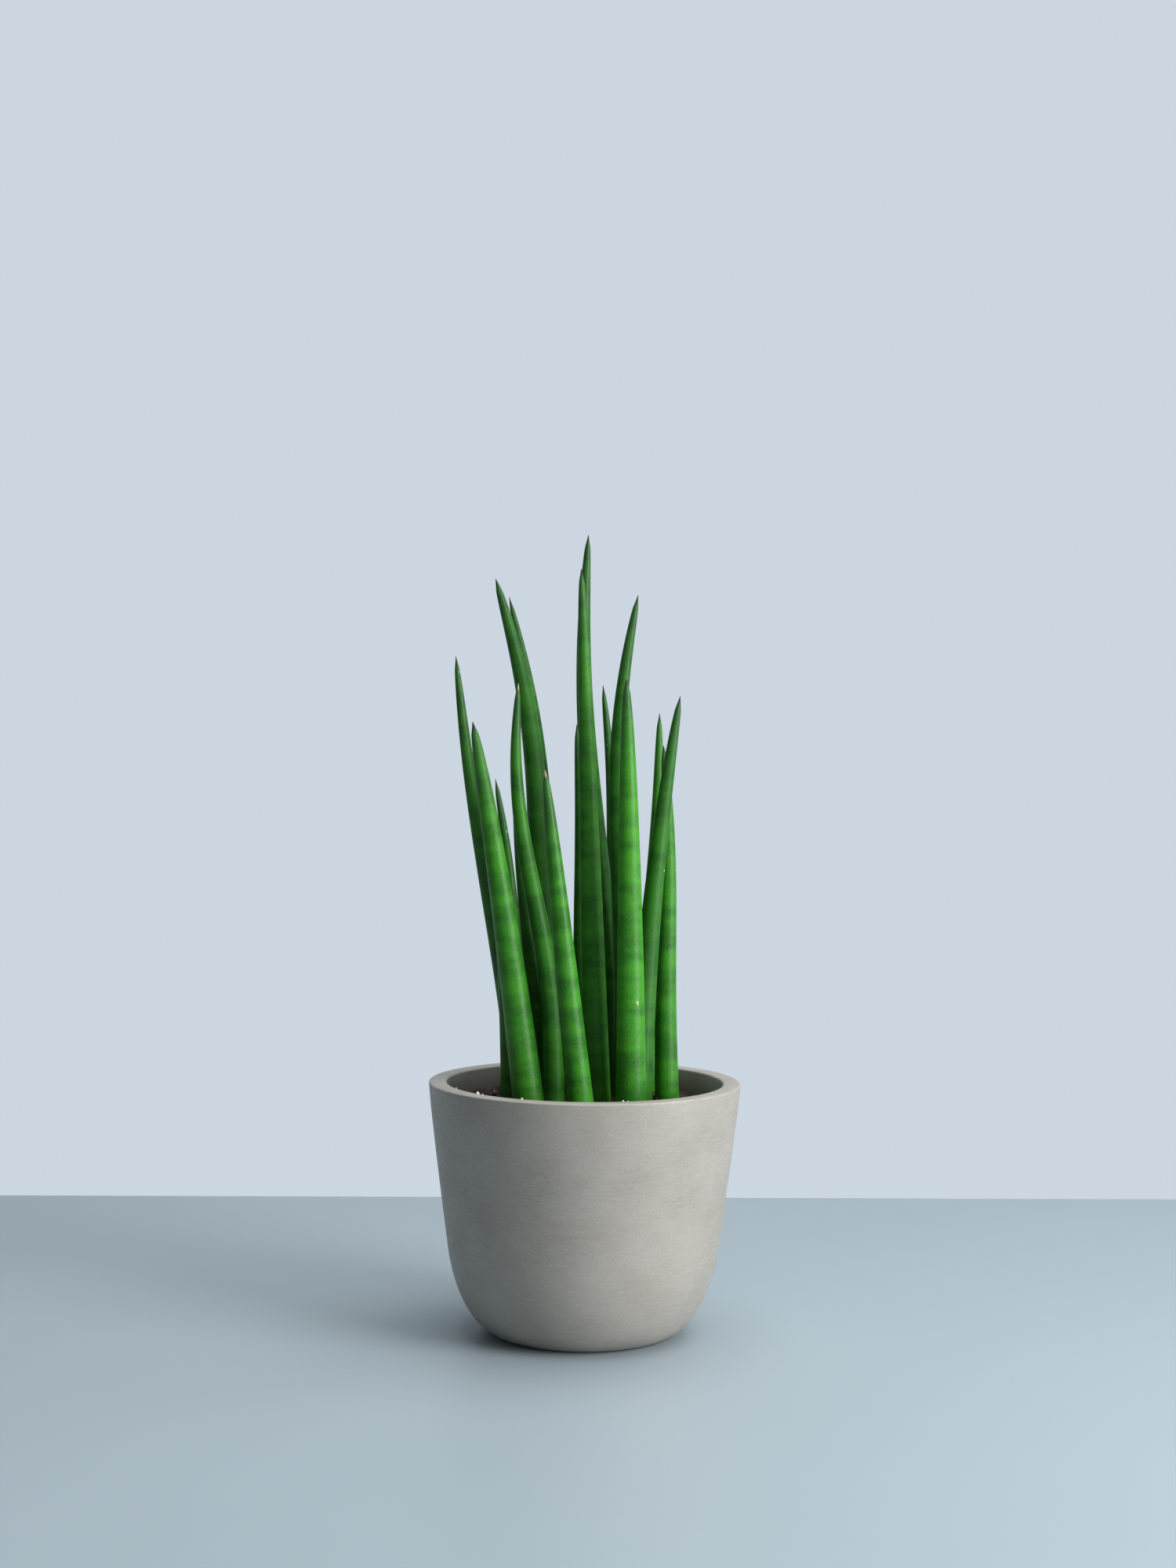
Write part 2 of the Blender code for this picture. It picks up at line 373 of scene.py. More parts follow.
def measure_leaf(node):
    """Smooth middle line from the foot to the tip, the foot's radius, and the buried end."""
    triangles = triangles_of(node)
    low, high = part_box(node)
    foot_height = SOIL_LEVEL
    heights = np.linspace(foot_height, high.z - 0.004, 28)
    cuts = [level_cut(triangles, height) for height in heights]
    middles = np.array([cut[0] for cut in cuts])
    apex = triangles.reshape(-1, 3)
    apex = apex[apex[:, 2] > high.z - 0.0006].mean(axis=0)
    points = np.vstack([middles, apex])
    share = (points[:, 2] - foot_height) / (apex[2] - foot_height)
    weight = np.ones(len(share))
    weight[-1] = 6.0
    x_line = np.polynomial.Polynomial.fit(share, points[:, 0], 5, w=weight)
    y_line = np.polynomial.Polynomial.fit(share, points[:, 1], 3, w=weight)
    line = []
    for t in np.linspace(0.0, 1.0, 40):
        line.append(Vector((x_line(t), y_line(t), foot_height + t * (high.z - foot_height))))
    lean = (line[1] - line[0]).normalized().z
    radius = cuts[0][1] * math.sqrt(lean)
    buried, buried_radius = level_cut(triangles, low.z + 0.001)
    return line, radius, Vector(buried), buried_radius


soil_low, soil_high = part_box("soil")
pot_low, pot_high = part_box("pot")
SOIL_LEVEL = soil_high.z - 1.5 * MM
LEAVES = sorted(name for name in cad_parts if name.startswith("leaf_"))
leaf_lines = {name: measure_leaf(name) for name in LEAVES}
for name in LEAVES:
    print(f"{name}: {2000 * leaf_lines[name][1]:.1f} mm thick")

# %% [markdown]
# ## Sweeping the leaves
# Every leaf follows one rule: a round section that thins towards the point, with a shallow
# channel down the side that faces the middle of the plant and a thin dry margin on each lip of
# it. That makes it a job for one Geometry Nodes tree with named inputs. The tree sweeps a
# circle along the measured line, then pushes the skin in for the channel and the small
# waves, and stores what the material needs.

# %% Geometry Nodes helpers
def new_tree(name, inputs):
    tree = bpy.data.node_groups.new(name, "GeometryNodeTree")
    tree.is_modifier = True
    tree.interface.new_socket("Geometry", in_out="INPUT", socket_type="NodeSocketGeometry")
    for socket_name, kind, default in inputs:
        socket = tree.interface.new_socket(socket_name, in_out="INPUT", socket_type=kind)
        if default is not None:
            socket.default_value = default
    tree.interface.new_socket("Geometry", in_out="OUTPUT", socket_type="NodeSocketGeometry")
    return tree, new_node(tree, "NodeGroupInput"), new_node(tree, "NodeGroupOutput")


def vector_maths(tree, operation, a, b=None, scale=None):
    item = new_node(tree, "ShaderNodeVectorMath", operation=operation)
    feed(tree, item.inputs[0], a)
    if b is not None:
        feed(tree, item.inputs[1], b)
    if scale is not None:
        feed(tree, item.inputs["Scale"], scale)
    return item.outputs["Value"] if operation == "DOT_PRODUCT" else item.outputs["Vector"]


def captured(tree, geometry, value, kind="FLOAT"):
    """Stores a value on the geometry's points. Returns the geometry and the stored value."""
    item = new_node(tree, "GeometryNodeCaptureAttribute")
    item.capture_items.new(kind, "Value")
    wire(tree, geometry, item.inputs["Geometry"])
    feed(tree, item.inputs["Value"], value)
    return item.outputs["Geometry"], item.outputs["Value"]


def stored(tree, geometry, name, value, kind="FLOAT"):
    item = new_node(tree, "GeometryNodeStoreNamedAttribute", data_type=kind)
    item.inputs["Name"].default_value = name
    wire(tree, geometry, item.inputs["Geometry"])
    feed(tree, item.inputs["Value"], value)
    return item.outputs["Geometry"]


def finish_tree(tree, geometry, material_socket, outs, smooth=True):
    shade = new_node(tree, "GeometryNodeSetShadeSmooth")
    shade.inputs["Shade Smooth"].default_value = smooth
    realize = new_node(tree, "GeometryNodeRealizeInstances")
    paint = new_node(tree, "GeometryNodeSetMaterial")
    wire(tree, geometry, shade.inputs["Geometry"])
    wire(tree, shade.outputs[0], realize.inputs["Geometry"])
    wire(tree, realize.outputs[0], paint.inputs["Geometry"])
    wire(tree, material_socket, paint.inputs["Material"])
    wire(tree, paint.outputs[0], outs.inputs[0])


def line_object(name, points):
    mesh = bpy.data.meshes.new(name)
    mesh.from_pydata([tuple(point) for point in points], [(i, i + 1) for i in range(len(points) - 1)], [])
    item = bpy.data.objects.new(name, mesh)
    scene.collection.objects.link(item)
    return item


def grow(item, tree, values):
    """Runs a tree on the object, keeps the result as its plain mesh and drops the modifier."""
    modifier = item.modifiers.new("grow", "NODES")
    modifier.node_group = tree
    for socket in tree.interface.items_tree:
        if socket.in_out == "INPUT" and socket.name in values:
            modifier[socket.identifier] = values[socket.name]
    bpy.context.view_layer.update()
    graph = bpy.context.evaluated_depsgraph_get()
    evaluated = item.evaluated_get(graph)
    mesh = bpy.data.meshes.new_from_object(evaluated, preserve_all_data_layers=True, depsgraph=graph)
    item.modifiers.remove(modifier)
    old = item.data
    item.data = mesh
    mesh.name = item.name
    if old.users == 0:
        bpy.data.meshes.remove(old)
    return item


# %% Leaf tree
# One input sets the painted light and shade of the whole leaf.
leaf_tree, ins, outs = new_tree("sweep_leaf", [
    ("Foot Radius", FLOAT, 0.006), ("Taper", FLOAT, 0.42), ("Buried Share", FLOAT, 0.1),
    ("Buried Narrowing", FLOAT, 0.4),
    ("Facing", VECTOR, (0.0, 1.0, 0.0)), ("Channel Depth", FLOAT, 0.16), ("Wave", FLOAT, 0.03),
    ("Seed", FLOAT, 0.0), ("Painted Light", FLOAT, 0.5), ("Dry Tip", FLOAT, 0.0),
    ("Rings", "NodeSocketInt", 170), ("Sides", "NodeSocketInt", 40), ("Material", "NodeSocketMaterial", None),
])
g = leaf_tree
to_curve = new_node(g, "GeometryNodeMeshToCurve")
wire(g, ins.outputs["Geometry"], to_curve.inputs["Mesh"])
kind = new_node(g, "GeometryNodeCurveSplineType", spline_type="CATMULL_ROM")
wire(g, to_curve.outputs[0], kind.inputs["Curve"])
resample = new_node(g, "GeometryNodeResampleCurve")
wire(g, kind.outputs[0], resample.inputs["Curve"])
wire(g, ins.outputs["Rings"], resample.inputs["Count"])

spline = new_node(g, "GeometryNodeSplineParameter")
factor = spline.outputs["Factor"]
length = new_node(g, "GeometryNodeSplineLength").outputs["Length"]
above = maths(g, "DIVIDE", maths(g, "SUBTRACT", factor, ins.outputs["Buried Share"]),
              maths(g, "SUBTRACT", 1.0, ins.outputs["Buried Share"]), clamp=True)
thin = maths(g, "POWER", maths(g, "SUBTRACT", 1.0, above, clamp=True), ins.outputs["Taper"])
tip_distance = maths(g, "MULTIPLY", maths(g, "SUBTRACT", 1.0, factor), length)
point = remap(g, tip_distance, 0.0, 0.007, 0.45, 1.0)
below = maths(g, "DIVIDE", maths(g, "SUBTRACT", ins.outputs["Buried Share"], factor),
              ins.outputs["Buried Share"], clamp=True)
foot = maths(g, "SUBTRACT", 1.0, maths(g, "MULTIPLY", below, ins.outputs["Buried Narrowing"]))
radius = maths(g, "MULTIPLY", maths(g, "MULTIPLY", thin, point), maths(g, "MULTIPLY", foot, ins.outputs["Foot Radius"]))
radius = maths(g, "MAXIMUM", radius, 0.00012)

tangent = new_node(g, "GeometryNodeInputTangent").outputs[0]
along_facing = vector_maths(g, "DOT_PRODUCT", ins.outputs["Facing"], tangent)
square_facing = vector_maths(g, "SUBTRACT", ins.outputs["Facing"],
                             vector_maths(g, "SCALE", tangent, scale=along_facing))
normals = new_node(g, "GeometryNodeSetCurveNormal", mode="FREE")
wire(g, resample.outputs[0], normals.inputs["Curve"])
wire(g, vector_maths(g, "NORMALIZE", square_facing), normals.inputs["Normal"])
rail, rail_radius = captured(g, normals.outputs[0], radius)
rail, rail_tip = captured(g, rail, tip_distance)
rail, rail_length = captured(g, rail, spline.outputs["Length"])

ring = new_node(g, "GeometryNodeCurvePrimitiveCircle", mode="RADIUS")
wire(g, ins.outputs["Sides"], ring.inputs["Resolution"])
ring.inputs["Radius"].default_value = 1.0
section, around = captured(g, ring.outputs["Curve"], new_node(g, "GeometryNodeInputPosition").outputs[0], "VECTOR")
sweep = new_node(g, "GeometryNodeCurveToMesh")
wire(g, rail, sweep.inputs["Curve"])
wire(g, section, sweep.inputs["Profile Curve"])
wire(g, rail_radius, sweep.inputs["Scale"])
sweep.inputs["Fill Caps"].default_value = True

split = new_node(g, "ShaderNodeSeparateXYZ")
wire(g, around, split.inputs[0])
across = split.outputs["Y"]
faces_in = split.outputs["X"]
lip_width = 0.62
trough = maths(g, "MULTIPLY", remap(g, maths(g, "ABSOLUTE", across), 0.0, lip_width, 1.0, 0.0),
               remap(g, faces_in, 0.2, 0.6))
opening = remap(g, rail_tip, 0.004, 0.05, 0.3, 1.0)
closing = remap(g, rail_tip, 0.06, 0.2, 1.0, 0.25)
trough = maths(g, "MULTIPLY", trough, maths(g, "MULTIPLY", opening, closing))
push_in = maths(g, "MULTIPLY", trough, ins.outputs["Channel Depth"])

wave_place = new_node(g, "ShaderNodeCombineXYZ")
wire(g, maths(g, "MULTIPLY_ADD", split.outputs["X"], 0.5, ins.outputs["Seed"]), wave_place.inputs["X"])
wire(g, maths(g, "MULTIPLY", split.outputs["Y"], 0.5), wave_place.inputs["Y"])
wire(g, maths(g, "MULTIPLY", rail_length, 28.0), wave_place.inputs["Z"])
swell = maths(g, "SUBTRACT", noise_at(g, wave_place.outputs[0], 1.6, 2.0, 0.5), 0.5)
swell = maths(g, "MULTIPLY", swell, ins.outputs["Wave"])
offset = maths(g, "MULTIPLY", maths(g, "SUBTRACT", swell, push_in), rail_radius)
move = new_node(g, "GeometryNodeSetPosition")
wire(g, sweep.outputs[0], move.inputs["Geometry"])
wire(g, vector_maths(g, "SCALE", new_node(g, "GeometryNodeInputNormal").outputs[0], scale=offset),
     move.inputs["Offset"])

leaf_place = new_node(g, "ShaderNodeCombineXYZ")
seed_shift = maths(g, "MULTIPLY", ins.outputs["Seed"], 0.37)
wire(g, maths(g, "MULTIPLY_ADD", split.outputs["X"], rail_radius, seed_shift), leaf_place.inputs["X"])
wire(g, maths(g, "MULTIPLY", split.outputs["Y"], rail_radius), leaf_place.inputs["Y"])
wire(g, rail_length, leaf_place.inputs["Z"])
lip = maths(g, "SUBTRACT", maths(g, "ABSOLUTE", across), lip_width)
margin_line = maths(g, "MULTIPLY", remap(g, maths(g, "ABSOLUTE", lip), 0.0, 0.09, 1.0, 0.0),
                    remap(g, faces_in, 0.2, 0.4))
result = stored(g, move.outputs[0], "leaf_place", leaf_place.outputs[0], "FLOAT_VECTOR")
result = stored(g, result, "from_tip", rail_tip)
result = stored(g, result, "margin", margin_line)
# The leaf's painted light and shade, read by the material.
result = stored(g, result, "painted_leaf_light", ins.outputs["Painted Light"])
result = stored(g, result, "dry_tip", ins.outputs["Dry Tip"])
finish_tree(g, result, ins.outputs["Material"], outs)
print("leaf tree:", len(g.nodes), "nodes")

# %% [markdown]
# ## One leaf after another
# The leaves get painted light and shade: the ones that face the light are painted brighter,
# and the ones behind are painted darker green as shade. Two of them end in a pale dry point.

# %% Grow the leaves
# Painted light for each leaf: 1 is brightest, for a leaf that faces the light; lower values paint shade, and leaves not
# listed get 0.35.
LEAF_PAINTED_LIGHT = {
    "leaf_front_right": 1.0, "leaf_front_left": 0.85, "leaf_dry_tip_front": 0.85, "leaf_right": 0.75,
    "leaf_right_back": 0.9, "leaf_centre": 0.6, "leaf_dry_tip_left": 0.6, "leaf_tall_left": 0.45,
}
CHANNELS_FACE = Vector((2 * MM, 48 * MM, 0.0))


def grow_leaf(name, number):
    line, radius, buried, buried_radius = leaf_lines[name]
    foot = line[0]
    points = [buried, buried.lerp(foot, 0.5)] + line
    total = sum((b - a).length for a, b in zip(points, points[1:]))
    buried_length = (foot - buried).length
    facing = CHANNELS_FACE - Vector((foot.x, foot.y, 0.0))
    leaf = line_object(f"{name}_skin", points)
    grow(leaf, leaf_tree, {
        "Foot Radius": radius, "Buried Share": buried_length / total,
        "Buried Narrowing": 1 - buried_radius / radius,
        "Facing": facing.normalized()[:], "Seed": float(number),
        "Painted Light": LEAF_PAINTED_LIGHT.get(name, 0.35), "Dry Tip": 1.0 if "dry_tip" in name else 0.0,
        "Material": leaf_finish,
    })
    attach(leaf, "root")
    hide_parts(name)
    return leaf


for number, name in enumerate(LEAVES):
    leaf = grow_leaf(name, number)
print("grew", len(LEAVES), "leaves of", len(leaf.data.polygons), "faces each")

# %% [markdown]
# ## Pot finish
# The pot is a matte composite: warm grey with soft clouds, fine level streaks from its
# turning, and grit of both lighter and darker grains. Inside it is darkened with painted shade.

# %% Pot finish
def pot_composite():
    material, tree, shader = new_material("pot_composite")
    place = object_place(tree)
    inside = attribute(tree, "inside").outputs["Fac"]
    soft = place_group(tree, clouds, Place=place, Scale=38.0, Low=0.3, High=0.7).outputs[0]
    colour = blend_colours(tree, soft, (0.335, 0.31, 0.275, 1), (0.385, 0.36, 0.325, 1))
    streak_place = stretched(tree, place, (1.0, 1.0, 9.0))
    streaks = place_group(tree, clouds, Place=streak_place, Scale=110.0, Low=0.35, High=0.7).outputs[0]
    colour = blend_colours(tree, maths(tree, "MULTIPLY", streaks, 0.22), colour, (0.46, 0.44, 0.41, 1))
    pale = place_group(tree, flecks, Place=place, Scale=1300.0, Rarity=0.62, Softness=0.06).outputs[0]
    colour = blend_colours(tree, maths(tree, "MULTIPLY", pale, 0.4), colour, (0.56, 0.54, 0.5, 1))
    dark = place_group(tree, flecks, Place=place, Scale=1050.0, Rarity=0.63, Softness=0.06).outputs[0]
    colour = blend_colours(tree, maths(tree, "MULTIPLY", dark, 0.35), colour, (0.2, 0.185, 0.165, 1))
    # Painted shade: the whole inside of the pot, wall and floor, is darkened as the shade of the hollow.
    painted_inside_shade = maths(tree, "MULTIPLY", inside, maths(tree, "MULTIPLY_ADD", soft, -0.2, 0.9))
    colour = blend_colours(tree, painted_inside_shade, colour, (0.085, 0.085, 0.06, 1))
    wire(tree, colour, shader.inputs["Base Color"])
    wire(tree, remap(tree, streaks, 0.0, 1.0, 0.5, 0.38), shader.inputs["Roughness"])
    fine = bump(tree, noise_at(tree, place, 1500.0, 3.0, 0.6), 0.3, 0.0001)
    wire(tree, bump(tree, noise_at(tree, streak_place, 240.0, 3.0, 0.6), 0.18, 0.0002, fine), shader.inputs["Normal"])
    return material


pot_finish = pot_composite()
print("made", pot_finish.name)

# %% [markdown]
# ## Turning the pot
# The pot is a solid of revolution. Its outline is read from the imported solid, where the
# section at angle zero is a chain of edges, and rounded with a Catmull-Rom curve between the
# measured points. One tree then sweeps that outline round the axis in many fine steps.

# %% Pot outline
def section_chain(node):
    """The outline of a turned solid on the +X half-plane, from the inner floor to the base."""
    corners = triangles_of(node)
    links = {}
    for triangle in corners:
        spots = [(round(p[0], 6), round(p[2], 6)) for p in triangle if abs(p[1]) < 1e-6 and p[0] > 1e-6]
        for a in spots:
            for b in spots:
                if a != b:
                    links.setdefault(a, set()).add(b)
    ends = [spot for spot in links if len(links[spot]) == 1]
    chain = [max(ends, key=lambda spot: spot[1])]
    while True:
        onward = [spot for spot in links[chain[-1]] if spot not in chain]
        if not onward:
            break
        chain.append(onward[0])
    return [(0.0, chain[0][1])] + chain + [(0.0, chain[-1][1])]


def catmull_rom(points, pieces):
    """Centripetal Catmull-Rom curve through the points, with that many pieces for each span."""
    points = [np.array(point) for point in points]
    ends = [2 * points[0] - points[1]] + points + [2 * points[-1] - points[-2]]
    smooth = []
    for p0, p1, p2, p3 in zip(ends, ends[1:], ends[2:], ends[3:]):
        knots = [0.0]
        for a, b in ((p0, p1), (p1, p2), (p2, p3)):
            knots.append(knots[-1] + max(np.linalg.norm(b - a), 1e-9) ** 0.5)
        t0, t1, t2, t3 = knots
        for step in range(pieces):
            t = t1 + (t2 - t1) * step / pieces
            a1 = p0 * (t1 - t) / (t1 - t0) + p1 * (t - t0) / (t1 - t0)
            a2 = p1 * (t2 - t) / (t2 - t1) + p2 * (t - t1) / (t2 - t1)
            a3 = p2 * (t3 - t) / (t3 - t2) + p3 * (t - t2) / (t3 - t2)
            b1 = a1 * (t2 - t) / (t2 - t0) + a2 * (t - t0) / (t2 - t0)
            b2 = a2 * (t3 - t) / (t3 - t1) + a3 * (t - t1) / (t3 - t1)
            smooth.append(b1 * (t2 - t) / (t2 - t1) + b2 * (t - t1) / (t2 - t1))
    return smooth + [points[-1]]


pot_chain = section_chain("pot")
pot_outline = catmull_rom(pot_chain, 4)
print("pot outline:", len(pot_chain), "measured points")

# %% Turning tree
turn_tree, ins, outs = new_tree("turn_outline", [
    ("Segments", "NodeSocketInt", 220), ("Inside Share", FLOAT, 0.4),
    ("Material", "NodeSocketMaterial", None),
])
g = turn_tree
outline = new_node(g, "GeometryNodeMeshToCurve")
wire(g, ins.outputs["Geometry"], outline.inputs["Mesh"])
place = new_node(g, "GeometryNodeInputPosition").outputs[0]
outline_curve, outline_place = captured(g, outline.outputs[0], place, "VECTOR")
share = new_node(g, "GeometryNodeSplineParameter").outputs["Factor"]
outline_curve, outline_share = captured(g, outline_curve, share)
circle = new_node(g, "GeometryNodeCurvePrimitiveCircle", mode="RADIUS")
wire(g, ins.outputs["Segments"], circle.inputs["Resolution"])
circle.inputs["Radius"].default_value = 1.0
circle_curve, circle_place = captured(g, circle.outputs["Curve"], place, "VECTOR")
turned = new_node(g, "GeometryNodeCurveToMesh")
wire(g, circle_curve, turned.inputs["Curve"])
wire(g, outline_curve, turned.inputs["Profile Curve"])
outline_split = new_node(g, "ShaderNodeSeparateXYZ")
wire(g, outline_place, outline_split.inputs[0])
circle_split = new_node(g, "ShaderNodeSeparateXYZ")
wire(g, circle_place, circle_split.inputs[0])
on_wall = new_node(g, "ShaderNodeCombineXYZ")
wire(g, maths(g, "MULTIPLY", outline_split.outputs["X"], circle_split.outputs["X"]), on_wall.inputs["X"])
wire(g, maths(g, "MULTIPLY", outline_split.outputs["X"], circle_split.outputs["Y"]), on_wall.inputs["Y"])
wire(g, outline_split.outputs["Z"], on_wall.inputs["Z"])
settle = new_node(g, "GeometryNodeSetPosition")
wire(g, turned.outputs[0], settle.inputs["Geometry"])
wire(g, on_wall.outputs[0], settle.inputs["Position"])
along_outline = maths(g, "SUBTRACT", ins.outputs["Inside Share"], outline_share)
mask = remap(g, along_outline, 0.001, 0.007)
closed = new_node(g, "GeometryNodeMergeByDistance")
closed.inputs["Distance"].default_value = 0.00001
wire(g, settle.outputs[0], closed.inputs["Geometry"])
result = stored(g, closed.outputs[0], "inside", mask)
finish_tree(g, result, ins.outputs["Material"], outs)
print("turning tree:", len(g.nodes), "nodes")


# %% Turn the pot
def point_outwards(item):
    shape = bmesh.new()
    shape.from_mesh(item.data)
    bmesh.ops.recalc_face_normals(shape, faces=shape.faces)
    shape.to_mesh(item.data)
    shape.free()
    return item


def share_up_to(outline, stop):
    """The share of an outline's length that lies before its point number stop."""
    steps = [np.linalg.norm(np.array(b) - np.array(a)) for a, b in zip(outline, outline[1:])]
    return float(sum(steps[:stop]) / sum(steps))


lip_number = next(i for i, spot in enumerate(pot_outline) if spot[1] > pot_high.z - 0.01 * MM)
pot_wall = line_object("pot_wall", [(x, 0.0, z) for x, z in pot_outline])
grow(pot_wall, turn_tree, {
    "Inside Share": share_up_to(pot_outline, lip_number), "Material": pot_finish,
})
point_outwards(pot_wall)
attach(pot_wall, "root")
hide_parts("pot")
print("pot:", len(pot_wall.data.polygons), "faces")

# %% [markdown]
# ## Potting soil
# Peaty soil is a heap of dark crumbs with a little white perlite. Its body is turned like the
# pot, inside the pot's wall, and its top is then roughened point by point. It rises a little
# round each leaf. Loose crumbs are scattered on it afterwards by a Geometry Nodes tree.

# %% Soil finish
def crumbly(name, dark, light, scale):
    material, tree, shader = new_material(name)
    place = object_place(tree)
    soft = place_group(tree, clouds, Place=place, Scale=scale, Low=0.35, High=0.65).outputs[0]
    colour = blend_colours(tree, soft, (*dark, 1), (*light, 1))
    bits = place_group(tree, flecks, Place=place, Scale=scale * 6, Rarity=0.64, Softness=0.05).outputs[0]
    brighter = tuple(min(1.0, 2.2 * value + 0.01) for value in light)
    colour = blend_colours(tree, maths(tree, "MULTIPLY", bits, 0.5), colour, (*brighter, 1))
    wire(tree, colour, shader.inputs["Base Color"])
    wire(tree, remap(tree, bits, 0.0, 1.0, 0.95, 0.8), shader.inputs["Roughness"])
    height = noise_at(tree, place, scale * 4, 4.0, 0.7)
    wire(tree, bump(tree, height, 0.6, 0.0006), shader.inputs["Normal"])
    return material


soil_finish = crumbly("potting_soil", (0.018, 0.009, 0.006), (0.06, 0.03, 0.018), 260.0)
perlite_finish = crumbly("perlite", (0.62, 0.60, 0.55), (0.85, 0.84, 0.80), 700.0)
print("made", soil_finish.name, "and", perlite_finish.name)

# %% Soil body
WALL_GAP = 0.3 * MM
SOIL_RINGS = 70
LUMP_HEIGHT = 1.5 * MM

inner_wall = [spot for spot in pot_chain[1:lip_number // 4] if spot[1] < SOIL_LEVEL]
wall_at_soil = np.interp(SOIL_LEVEL, [z for _, z in pot_chain[1:9]], [x for x, _ in pot_chain[1:9]])
soil_edge = float(wall_at_soil) - WALL_GAP
floor_height = pot_chain[0][1] + WALL_GAP
soil_side = [(x - WALL_GAP, max(z, floor_height)) for x, z in reversed(inner_wall)]
soil_top = [(soil_edge * i / SOIL_RINGS, SOIL_LEVEL) for i in range(SOIL_RINGS + 1)]
soil_outline = soil_top + soil_side + [(0.0, floor_height)]
soil_bed = line_object("soil_bed", [(x, 0.0, z) for x, z in soil_outline])
grow(soil_bed, turn_tree, {"Segments": 200, "Inside Share": 0.0, "Material": soil_finish})


def nearest_foot(spot):
    """Distance from a place on the soil to the skin of the nearest leaf."""
    gaps = [math.hypot(spot.x - line[0].x, spot.y - line[0].y) - radius
            for line, radius, _, _ in leaf_lines.values()]
    return min(gaps)


free = soil_bed.data.attributes.new("free", "FLOAT", "POINT")
for vertex in soil_bed.data.vertices:
    spot = vertex.co
    if spot.z > SOIL_LEVEL - 0.01 * MM:
        reach = math.hypot(spot.x, spot.y) / soil_edge
        lumps = noise.fractal(spot * 170.0, 0.6, 2.2, 5) * LUMP_HEIGHT
        rise = 1.5 * MM * (1 - reach ** 2)
        gap = nearest_foot(spot)
        collar = 1.0 * MM * math.exp(-max(gap, 0.0) / (2.5 * MM))
        free.data[vertex.index].value = 1.0 if gap > 0.4 * MM and reach < 0.985 else 0.0
        vertex.co.z += rise + collar + lumps * (0.35 + 0.65 * (reach < 0.99))
point_outwards(soil_bed)
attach(soil_bed, "root")
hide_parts("soil")
print("soil:", len(soil_bed.data.polygons), "faces")

# %% Crumb tree
crumb_tree, ins, outs = new_tree("scatter_crumbs", [
    ("Density", FLOAT, 100000.0), ("Smallest", FLOAT, 0.0004), ("Largest", FLOAT, 0.0012),
    ("Stretch", FLOAT, 1.0), ("Seed", "NodeSocketInt", 1), ("Material", "NodeSocketMaterial", None),
])
g = crumb_tree
free_mask = new_node(g, "GeometryNodeInputNamedAttribute", data_type="FLOAT")
free_mask.inputs["Name"].default_value = "free"
upright = new_node(g, "ShaderNodeSeparateXYZ")
wire(g, new_node(g, "GeometryNodeInputNormal").outputs[0], upright.inputs[0])
spread = new_node(g, "GeometryNodeDistributePointsOnFaces")
wire(g, ins.outputs["Geometry"], spread.inputs["Mesh"])
wire(g, maths(g, "MULTIPLY", free_mask.outputs["Attribute"], ins.outputs["Density"]), spread.inputs["Density"])
wire(g, maths(g, "GREATER_THAN", upright.outputs["Z"], 0.2), spread.inputs["Selection"])
wire(g, ins.outputs["Seed"], spread.inputs["Seed"])
lump = new_node(g, "GeometryNodeMeshIcoSphere")
lump.inputs["Radius"].default_value = 1.0
lump.inputs["Subdivisions"].default_value = 2
dent = maths(g, "SUBTRACT", noise_at(g, new_node(g, "GeometryNodeInputPosition").outputs[0], 1.3, 2.0, 0.6), 0.55)
shaped = new_node(g, "GeometryNodeSetPosition")
wire(g, lump.outputs["Mesh"], shaped.inputs["Geometry"])
wire(g, vector_maths(g, "SCALE", new_node(g, "GeometryNodeInputNormal").outputs[0],
                     scale=maths(g, "MULTIPLY", dent, 1.6)), shaped.inputs["Offset"])
size = new_node(g, "FunctionNodeRandomValue", data_type="FLOAT")
wire(g, ins.outputs["Smallest"], size.inputs[2])
wire(g, ins.outputs["Largest"], size.inputs[3])
wire(g, ins.outputs["Seed"], size.inputs["Seed"])
turn = new_node(g, "FunctionNodeRandomValue", data_type="FLOAT_VECTOR")
turn.inputs[1].default_value = (math.tau, math.tau, math.tau)
wire(g, ins.outputs["Seed"], turn.inputs["Seed"])
proportions = new_node(g, "ShaderNodeCombineXYZ")
wire(g, ins.outputs["Stretch"], proportions.inputs["X"])
proportions.inputs["Y"].default_value = 1.0
proportions.inputs["Z"].default_value = 0.75
scatter = new_node(g, "GeometryNodeInstanceOnPoints")
wire(g, spread.outputs["Points"], scatter.inputs["Points"])
wire(g, shaped.outputs[0], scatter.inputs["Instance"])
wire(g, turn.outputs[0], scatter.inputs["Rotation"])
wire(g, vector_maths(g, "SCALE", proportions.outputs[0], scale=size.outputs[1]), scatter.inputs["Scale"])
finish_tree(g, scatter.outputs[0], ins.outputs["Material"], outs, smooth=False)
print("crumb tree:", len(g.nodes), "nodes")

# %% Scatter the crumbs
CRUMBS = {
    "soil_crumbs": (110000.0, 0.35, 1.15, 1.3, 3, soil_finish),
    "soil_fibres": (6500.0, 0.22, 0.45, 7.0, 11, soil_finish),
    "perlite_grains": (3200.0, 0.3, 0.85, 1.1, 8, perlite_finish),
}
for name, (density, smallest, largest, stretch, seed, finish) in CRUMBS.items():
    crumbs = bpy.data.objects.new(name, soil_bed.data.copy())
    scene.collection.objects.link(crumbs)
    grow(crumbs, crumb_tree, {
        "Density": density, "Smallest": smallest * MM, "Largest": largest * MM,
        "Stretch": stretch, "Seed": seed, "Material": finish,
    })
    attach(crumbs, "root")
    print(f"{name}: {len(crumbs.data.polygons)} faces")

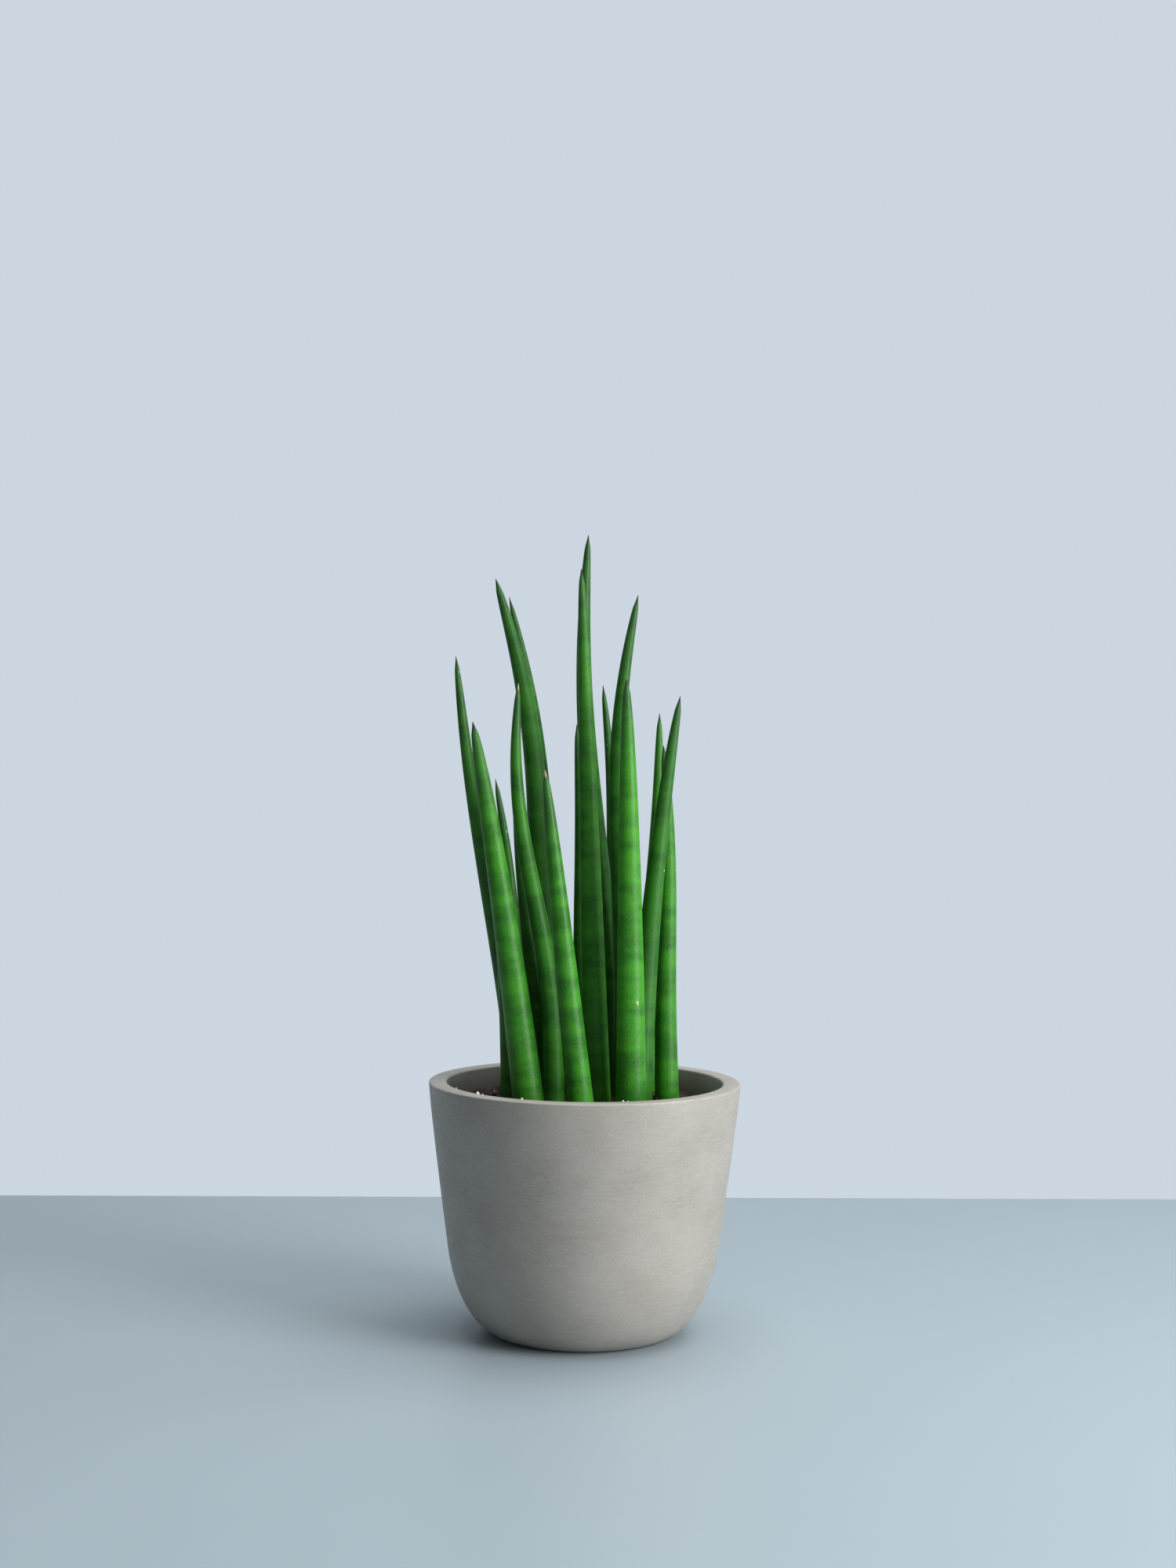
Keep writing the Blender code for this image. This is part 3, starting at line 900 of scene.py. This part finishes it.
# %% Crumbs on the rim
# azimuth from the front in degrees, and size in millimetres
RIM_CRUMBS = [(-47, 1.5), (-44, 0.7), (-25, 1.1), (15, 1.0), (17, 0.6), (-63, 0.8), (148, 1.2)]
lip_radius, lip_height = pot_outline[lip_number]

crumb_shape = bmesh.new()
for number, (azimuth, size_mm) in enumerate(RIM_CRUMBS):
    turn = math.radians(azimuth)
    half = 0.5 * size_mm * MM
    middle = Vector((math.sin(turn) * lip_radius, -math.cos(turn) * lip_radius, lip_height + 0.5 * half))
    grains = bmesh.ops.create_icosphere(crumb_shape, subdivisions=2, radius=half)["verts"]
    for vertex in grains:
        dent = noise.noise(vertex.co / half * 0.9 + Vector((number * 7.0, 0, 0)))
        vertex.co = vertex.co * (1 + 0.45 * dent) + middle
rim_mesh = bpy.data.meshes.new("rim_crumbs")
crumb_shape.to_mesh(rim_mesh)
crumb_shape.free()
rim_mesh.materials.append(perlite_finish)
rim_crumbs = bpy.data.objects.new("rim_crumbs", rim_mesh)
scene.collection.objects.link(rim_crumbs)
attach(rim_crumbs, "root")
print("rim crumbs:", len(RIM_CRUMBS))

# %% [markdown]
# ## Rhizomes
# The rhizomes lie out of sight in the soil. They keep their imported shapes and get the
# orange, ringed skin that shows when the plant is lifted out.

# %% Rhizome finish
def rhizome_skin():
    material, tree, shader = new_material("rhizome_skin")
    place = object_place(tree)
    soft = place_group(tree, clouds, Place=place, Scale=120.0, Low=0.35, High=0.65).outputs[0]
    colour = blend_colours(tree, soft, (0.50, 0.20, 0.05, 1), (0.78, 0.42, 0.15, 1))
    rings = place_group(tree, clouds, Place=stretched(tree, place, (9.0, 0.5, 0.5)),
                        Scale=60.0, Low=0.5, High=0.6).outputs[0]
    colour = blend_colours(tree, maths(tree, "MULTIPLY", rings, 0.5), colour, (0.30, 0.13, 0.05, 1))
    wire(tree, colour, shader.inputs["Base Color"])
    wire(tree, remap(tree, rings, 0.0, 1.0, 0.5, 0.75), shader.inputs["Roughness"])
    wire(tree, bump(tree, rings, 0.4, 0.0004), shader.inputs["Normal"])
    return material


rhizome_finish = rhizome_skin()
for name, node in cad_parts.items():
    if name.startswith("rhizome_"):
        node.material_slots[0].material = rhizome_finish
print("made", rhizome_finish.name)

# %% [markdown]
# ## Floor
# A plain pale plane, whose far edge lies behind the plant and is turned a little. It isn't
# part of the object.

# %% Floor
def table_paint():
    material, tree, shader = new_material("table_paint")
    place = object_place(tree)
    soft = place_group(tree, clouds, Place=place, Scale=3.0, Low=0.3, High=0.7).outputs[0]
    colour = blend_colours(tree, soft, (0.330, 0.396, 0.440, 1), (0.340, 0.405, 0.450, 1))
    wire(tree, colour, shader.inputs["Base Color"])
    shader.inputs["Roughness"].default_value = 0.42
    return material


FLOOR_SIDE = 2.0
FLOOR_NEAR = -2.5
FLOOR_FAR = 0.325
FAR_EDGE_SLOPE = 0.036

floor_mesh = bpy.data.meshes.new("floor")
far_shift = FAR_EDGE_SLOPE * FLOOR_SIDE
floor_corners = [
    (-FLOOR_SIDE, FLOOR_NEAR, 0), (FLOOR_SIDE, FLOOR_NEAR, 0),
    (FLOOR_SIDE, FLOOR_FAR + far_shift, 0), (-FLOOR_SIDE, FLOOR_FAR - far_shift, 0),
]
floor_mesh.from_pydata(floor_corners, [], [(0, 1, 2, 3)])
floor = bpy.data.objects.new("floor", floor_mesh)
floor_mesh.materials.append(table_paint())
scene.collection.objects.link(floor)
